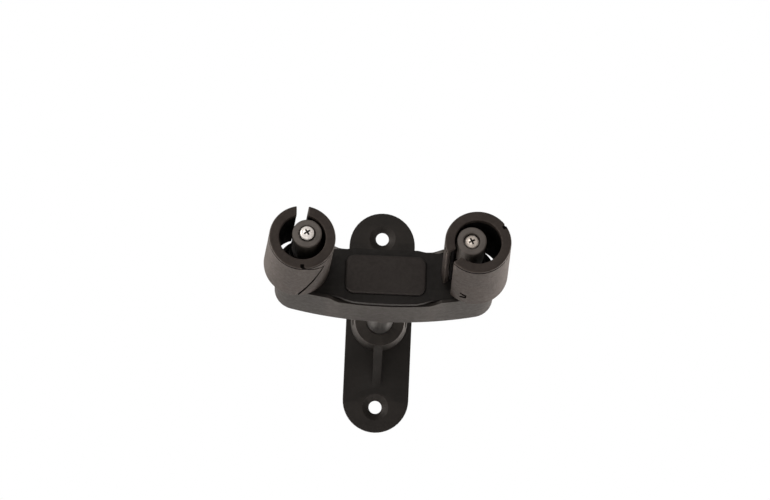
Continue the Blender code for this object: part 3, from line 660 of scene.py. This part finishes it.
def hub_cap(side, look):
    """The round cap on a gate's post, with softened edges and a counterbore for the screw."""
    bore = SCREW_RADIUS + CAP_BORE_PLAY
    well = SCREW_HEAD + WELL_PLAY
    floor = SCREW_SEAT - WELL_GAP
    profile = arc((HUB_RADIUS - CAP_EDGE, HUB_FRONT - CAP_EDGE), CAP_EDGE, 90, 0, 6)
    profile += [(HUB_RADIUS, z) for z in between(HUB_FRONT - CAP_EDGE, HUB_BACK, 8)]
    profile += [(HUB_RADIUS, HUB_BACK), (bore, HUB_BACK), (bore, floor)]
    profile += [(well - WELL_CORNER, floor), (well, floor + WELL_CORNER)]
    profile += arc((well + WELL_EDGE, HUB_FRONT - WELL_EDGE), WELL_EDGE, 180, 90, 4)
    profile += [(r, HUB_FRONT) for r in between(well + WELL_EDGE, HUB_RADIUS - CAP_EDGE, 5)]
    made = lathe(f"round_cap_{side}", profile, post_frame(side), look)
    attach(made, "yoke")
    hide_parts(f"hub_cap_{side}")


def cross_wing(top, turn):
    """One wing of a cross-head driver, which narrows downwards."""
    shape = bmesh.new()
    bmesh.ops.create_cube(shape, size=1.0)
    for vertex in shape.verts:
        up = vertex.co.z > 0
        vertex.co.x *= CROSS_LENGTH if up else CROSS_FOOT_LENGTH
        vertex.co.y *= CROSS_WIDTH if up else CROSS_FOOT_WIDTH
        vertex.co.z = top + CUTTER_RISE if up else top - CROSS_DEPTH
    bmesh.ops.rotate(shape, verts=shape.verts, cent=(0, 0, 0), matrix=Matrix.Rotation(turn, 3, "Z"))
    return shape


def thread(name, low, high, place, look):
    """A V thread round the screw's shank."""
    turns = (high - low) / THREAD_PITCH
    root = SCREW_RADIUS - THREAD_DEPTH
    foot = root - THREAD_ROOT
    half = THREAD_PITCH * THREAD_FOOT
    loops = []
    for i in range(int(turns * THREAD_STEPS) + 1):
        angle = 2 * math.pi * i / THREAD_STEPS
        middle = low + THREAD_PITCH * i / THREAD_STEPS
        fade = min(1.0, i / THREAD_STEPS, (turns * THREAD_STEPS - i) / THREAD_STEPS)
        crest = root + THREAD_DEPTH * max(THREAD_START, fade)
        section = [(foot, middle - half), (crest, middle - THREAD_CREST)]
        section += [(crest, middle + THREAD_CREST), (foot, middle + half)]
        loops.append([(r * math.cos(angle), r * math.sin(angle), z) for r, z in section])
    shape = bmesh.new()
    loft(shape, loops)
    return piece(name, shape, place, look)


def gate_screw(side, proud, cross_turn, look, recess_shade):
    """A pan-head screw with a cross recess and a threaded shank."""
    place = post_frame(side)
    under = SCREW_SEAT + proud
    rim = under + SCREW_RIM
    top = under + SCREW_HEIGHT
    tip = SCREW_TIP + proud
    shank = SCREW_RADIUS - THREAD_DEPTH
    profile = [(0, top)]
    for i in range(1, HEAD_STEPS):
        angle = math.radians(90 * i / HEAD_STEPS)
        radius = SCREW_HEAD * math.sin(angle) ** HEAD_SIDE_CURVE
        profile.append((radius, rim + (top - rim) * math.cos(angle) ** HEAD_TOP_CURVE))
    profile += [(SCREW_HEAD, rim), (SCREW_HEAD, under + SCREW_EDGE), (SCREW_HEAD - SCREW_EDGE, under)]
    profile += [(shank, under), (shank, tip + SCREW_POINT)]
    profile += [(SCREW_RADIUS - SCREW_POINT_TAPER, tip), (0, tip)]
    head = lathe(f"pan_screw_{side}", profile, place, look, steps=64)
    # The cutters leave their dark material on the recess's faces: painted shade in the cross.
    for wing in (0, 90):
        shape = cross_wing(top, math.radians(cross_turn + wing))
        cut(head, piece(f"cross_cutter_{side}_{wing}", shape, place, recess_shade))
    shade(head.data)
    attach(head, "yoke")
    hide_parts(f"gate_screw_{side}")
    coil = thread(f"screw_thread_{side}", tip + SCREW_POINT, under - THREAD_GAP, place, look)
    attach(coil, "yoke")


# ---------------------------------------------------------------- neck rest


def rounded_loop(width, height, radius, level):
    """A rounded rectangle as a closed loop of points at that level."""
    points = []
    for turn, side_x, side_y in ((0, 1, 1), (90, -1, 1), (180, -1, -1), (270, 1, -1)):
        centre = (side_x * (width / 2 - radius), side_y * (height / 2 - radius))
        points += [(x, y, level) for x, y in arc(centre, radius, turn, turn + 90, 8)]
    return points


def neck_rest(look):
    """A rubber rest with rounded corners and edges and a crowned front, as large as its CAD node."""
    low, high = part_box("neck_rest")
    across = Vector((1, 0, 0))
    up = Vector((0, math.sin(TILT), math.cos(TILT)))
    out = Vector((0, -math.cos(TILT), math.sin(TILT)))
    vertices = [v.co for v in frame["nodes"]["neck_rest"].data.vertices]
    heights = [v.dot(up) for v in vertices]
    depths = [v.dot(out) for v in vertices]
    width, height = high.x - low.x, max(heights) - min(heights)
    thick = max(depths) - min(depths)
    place = Matrix((across, up, out)).transposed().to_4x4()
    place.translation = up * (max(heights) + min(heights)) / 2 + out * min(depths)
    loops = []
    for level in (0.0, thick * REST_SIDE_SHARE):
        loops.append(rounded_loop(width, height, REST_CORNER, level))
    for i in range(REST_EDGE_STEPS + 1):
        angle = math.radians(90 * i / REST_EDGE_STEPS)
        inset = REST_EDGE * (1 - math.cos(angle))
        level = thick - REST_CROWN - REST_EDGE + REST_EDGE * math.sin(angle)
        loops.append(rounded_loop(width - 2 * inset, height - 2 * inset, REST_CORNER - inset, level))
    for i in range(1, REST_RINGS):
        scale = 1 - i / REST_RINGS
        inner_width = (width - 2 * REST_EDGE) * scale
        inner_height = (height - 2 * REST_EDGE) * scale
        level = thick - REST_CROWN + REST_CROWN * (1 - scale**2)
        loops.append(rounded_loop(inner_width, inner_height, (REST_CORNER - REST_EDGE) * scale, level))
    shape = bmesh.new()
    loft(shape, loops)
    made = piece("neck_rest", shape, place, look)
    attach(made, "yoke")
    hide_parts("neck_rest")


# ---------------------------------------------------------------- CAD nodes that stay


def finish_node(name, look):
    """Smooth shading and a material for a CAD node that keeps its shape."""
    node = frame["nodes"][name]
    node.data.shade_smooth()
    weld = node.modifiers.new("weld", "WELD")
    weld.merge_threshold = NODE_WELD
    edges = node.modifiers.new("edges", "EDGE_SPLIT")
    edges.split_angle = NODE_SHARP_ANGLE
    node.modifiers.new("normals", "WEIGHTED_NORMAL")
    for slot in node.material_slots:
        slot.material = look


# ---------------------------------------------------------------- studio


def pale_floor():
    """A wide pale floor below the hanger."""
    look = Look("pale_floor")
    colour = look.mix(look.ramp(look.noise(3, detail=3), 0.3, 0.7), (0.84, 0.84, 0.84), (0.88, 0.88, 0.88))
    look.bump(look.noise(300), distance=0.0002, strength=0.1)
    finished = look.done(colour, look.ramp(look.noise(20), 0, 1, 0.8, 0.9))
    shape = bmesh.new()
    bmesh.ops.create_grid(shape, x_segments=1, y_segments=1, size=FLOOR_REACH)
    lowest = CAD_BOX[0][2]
    floor = piece("floor", shape, Matrix.Translation((0, 0, lowest - FLOOR_DROP)), finished)


def room():
    """A white backdrop to the camera, and to all else a soft even room, slightly dimmer in front."""
    world = bpy.data.worlds.new("studio")
    bpy.context.scene.world = world
    world.use_nodes = True
    nodes, links = world.node_tree.nodes, world.node_tree.links
    nodes.clear()
    direction = nodes.new("ShaderNodeTexCoord")
    parts = nodes.new("ShaderNodeSeparateXYZ")
    links.new(direction.outputs["Generated"], parts.inputs[0])
    level = nodes.new("ShaderNodeMapRange")
    level.interpolation_type = "SMOOTHSTEP"
    level.inputs["From Min"].default_value = ROOM_FRONT
    level.inputs["From Max"].default_value = ROOM_BACK
    level.inputs["To Min"].default_value = ROOM_FRONT_LEVEL
    level.inputs["To Max"].default_value = ROOM_BACK_LEVEL
    links.new(parts.outputs["Y"], level.inputs["Value"])
    light = nodes.new("ShaderNodeBackground")
    light.inputs["Color"].default_value = (*LIGHT_COLOUR, 1.0)
    links.new(level.outputs["Result"], light.inputs["Strength"])
    backdrop = nodes.new("ShaderNodeBackground")
    backdrop.inputs["Color"].default_value = (1, 1, 1, 1)
    backdrop.inputs["Strength"].default_value = 1.0
    path = nodes.new("ShaderNodeLightPath")
    choose = nodes.new("ShaderNodeMixShader")
    links.new(path.outputs["Is Camera Ray"], choose.inputs[0])
    links.new(light.outputs[0], choose.inputs[1])
    links.new(backdrop.outputs[0], choose.inputs[2])
    out = nodes.new("ShaderNodeOutputWorld")
    links.new(choose.outputs[0], out.inputs[0])


def soft_light(name, place, width, height, power):
    """A soft rectangular light at that place, aimed at the hanger."""
    light = bpy.data.lights.new(name, "AREA")
    light.shape = "RECTANGLE"
    light.size = width
    light.size_y = height
    light.energy = power
    light.color = LIGHT_COLOUR
    made = bpy.data.objects.new(name, light)
    bpy.context.scene.collection.objects.link(made)
    made.location = place
    aim = Vector(LIGHT_TARGET) - Vector(place)
    made.rotation_euler = aim.to_track_quat("-Z", "Y").to_euler()


def camera():
    """A long lens a little below the hanger, slightly rolled, aimed near the middle of the hubs' fronts."""
    fronts = [post_frame(side) @ Vector((0, 0, HUB_FRONT)) for side in SIDES]
    back = Vector((
        math.sin(CAMERA_AZIMUTH) * math.cos(CAMERA_ELEVATION),
        -math.cos(CAMERA_AZIMUTH) * math.cos(CAMERA_ELEVATION),
        math.sin(CAMERA_ELEVATION),
    ))
    turn = back.to_track_quat("Z", "Y").to_matrix().to_4x4() @ Matrix.Rotation(CAMERA_ROLL, 4, "Z")
    aim = (fronts[0] + fronts[1]) / 2 + turn.to_3x3() @ Vector((AIM_RIGHT, AIM_UP, 0))
    lens = bpy.data.cameras.new("camera")
    lens.sensor_width = SENSOR_WIDTH
    lens.lens = SENSOR_WIDTH * CAMERA_DISTANCE / FIELD_WIDTH
    lens.clip_start = CAMERA_NEAR
    made = bpy.data.objects.new("camera", lens)
    bpy.context.scene.collection.objects.link(made)
    made.matrix_world = Matrix.Translation(aim + back * CAMERA_DISTANCE) @ turn
    bpy.context.scene.camera = made


# ---------------------------------------------------------------- the hanger

SLEEVE_RUBBER = rubber(
    "sleeve_rubber",
    dark=(0.0125, 0.0096, 0.0081), light=(0.0235, 0.0185, 0.0158), worn=(0.066, 0.055, 0.047),
)
# Near-black, barely shiny rubber for the groove faces: painted shade standing in for the shadow inside the
# seam, notch, line and mark.
GROOVE_PAINTED_SHADE = rubber(
    "groove_painted_shade",
    dark=(0.0008, 0.0006, 0.0006), light=(0.0018, 0.0015, 0.0013), worn=(0.004, 0.0034, 0.003),
    specular=0.02,
)
REST_RUBBER = rubber(
    "rest_rubber",
    dark=(0.009, 0.008, 0.0078), light=(0.014, 0.013, 0.0125), worn=(0.04, 0.037, 0.035),
)
CAP_NYLON = moulded(
    "cap_nylon",
    dark=(0.056, 0.049, 0.044), light=(0.096, 0.086, 0.078), worn=(0.18, 0.165, 0.15),
    low_rough=0.42, high_rough=0.55,
)
HOUSING_NYLON = moulded(
    "housing_nylon",
    dark=(0.0062, 0.0053, 0.0046), light=(0.0110, 0.0096, 0.0085), worn=(0.040, 0.035, 0.031),
    low_rough=0.5, high_rough=0.64, specular=0.3,
)
# Darker and duller than the housing's nylon: partly the cover's own black colour, partly painted shade for
# the shadow a hung guitar casts on its face.
COVER_NYLON_AND_SHADE = moulded(
    "cover_nylon_painted_shade",
    dark=(0.0050, 0.0045, 0.0042), light=(0.0085, 0.0078, 0.0073), worn=(0.034, 0.031, 0.028),
    low_rough=0.55, high_rough=0.7, specular=0.25,
)
# Near-black, faintly blue, dull nylon for the gate cores, seen inside the bores: partly its own colour,
# partly painted shade deep in the bores.
CORE_NYLON_AND_SHADE = moulded(
    "core_nylon_painted_shade",
    dark=(0.0025, 0.0026, 0.0028), light=(0.0040, 0.0041, 0.0043), worn=(0.012, 0.012, 0.012),
    low_rough=0.60, high_rough=0.75, specular=0.15,
)
ARM_COAT = coated("arm_coat")
# Dark, half-metallic steel for the faces of the cross recesses: painted shade in the recess.
RECESS_PAINTED_SHADE = plated(
    "recess_painted_shade",
    dark=(0.03, 0.027, 0.024), light=(0.06, 0.055, 0.05), turned_marks=False, metallic=0.5,
)
# Two copies of one screw steel: near white and mostly unmetallic on the left screw, darker and warmer on
# the right one.
LEFT_SCREW_STEEL = plated(
    "screw_steel_left_whiter",
    dark=(0.90, 0.885, 0.87), light=(0.97, 0.96, 0.945), turned_marks=True, metallic=0.25,
)
RIGHT_SCREW_STEEL = plated(
    "screw_steel_right_darker",
    dark=(0.50, 0.455, 0.41), light=(0.88, 0.84, 0.79), turned_marks=True, metallic=0.35,
)
PLATED_STEEL = plated(
    "plated_steel_plain",
    dark=(0.62, 0.60, 0.55), light=(0.74, 0.72, 0.68), turned_marks=False,
)
ACETAL = acetal("acetal_white")

NODE_LOOKS = {
    "wall_plate": HOUSING_NYLON,
    "arm": ARM_COAT,
    "arm_pin": PLATED_STEEL,
    "stop_collar": ARM_COAT,
    "swivel_bolt": PLATED_STEEL,
    "swivel_flat_washer": PLATED_STEEL,
    "swivel_disc_spring": PLATED_STEEL,
    "swivel_thrust_washer": ACETAL,
    "swivel_bush": ACETAL,
    "yoke_housing": HOUSING_NYLON,
    "yoke_cover": COVER_NYLON_AND_SHADE,
}
for number in range(1, 5):
    NODE_LOOKS[f"cover_screw_{number}"] = PLATED_STEEL
for hand in SIDES:
    NODE_LOOKS[f"spindle_{hand}"] = PLATED_STEEL
    NODE_LOOKS[f"gate_washer_{hand}"] = ACETAL
    NODE_LOOKS[f"gate_core_{hand}"] = CORE_NYLON_AND_SHADE

for node_name, node_look in NODE_LOOKS.items():
    finish_node(node_name, node_look)
sleeve("left", LEFT_GATE_TURN, SLEEVE_RUBBER, GROOVE_PAINTED_SHADE)
sleeve("right", RIGHT_GATE_TURN, SLEEVE_RUBBER, GROOVE_PAINTED_SHADE)
for hand in SIDES:
    hub_cap(hand, CAP_NYLON)
gate_screw("left", LEFT_SCREW_PROUD, LEFT_CROSS_TURN, LEFT_SCREW_STEEL, RECESS_PAINTED_SHADE)
gate_screw("right", 0.0, RIGHT_CROSS_TURN, RIGHT_SCREW_STEEL, RECESS_PAINTED_SHADE)
neck_rest(REST_RUBBER)

pale_floor()
room()
soft_light("left_key", place=(-0.9, -0.35, 0.25), width=0.30, height=0.9, power=5.0)
soft_light("right_rim", place=(0.8, 0.25, 0.05), width=0.20, height=0.9, power=17.0)
soft_light("left_rim", place=(-0.8, 0.30, 0.05), width=0.20, height=0.9, power=10.0)
soft_light("front_fill", place=(-0.25, -1.2, 0.75), width=0.7, height=0.5, power=4.0)
camera()
bpy.context.scene.view_settings.view_transform = "Standard"
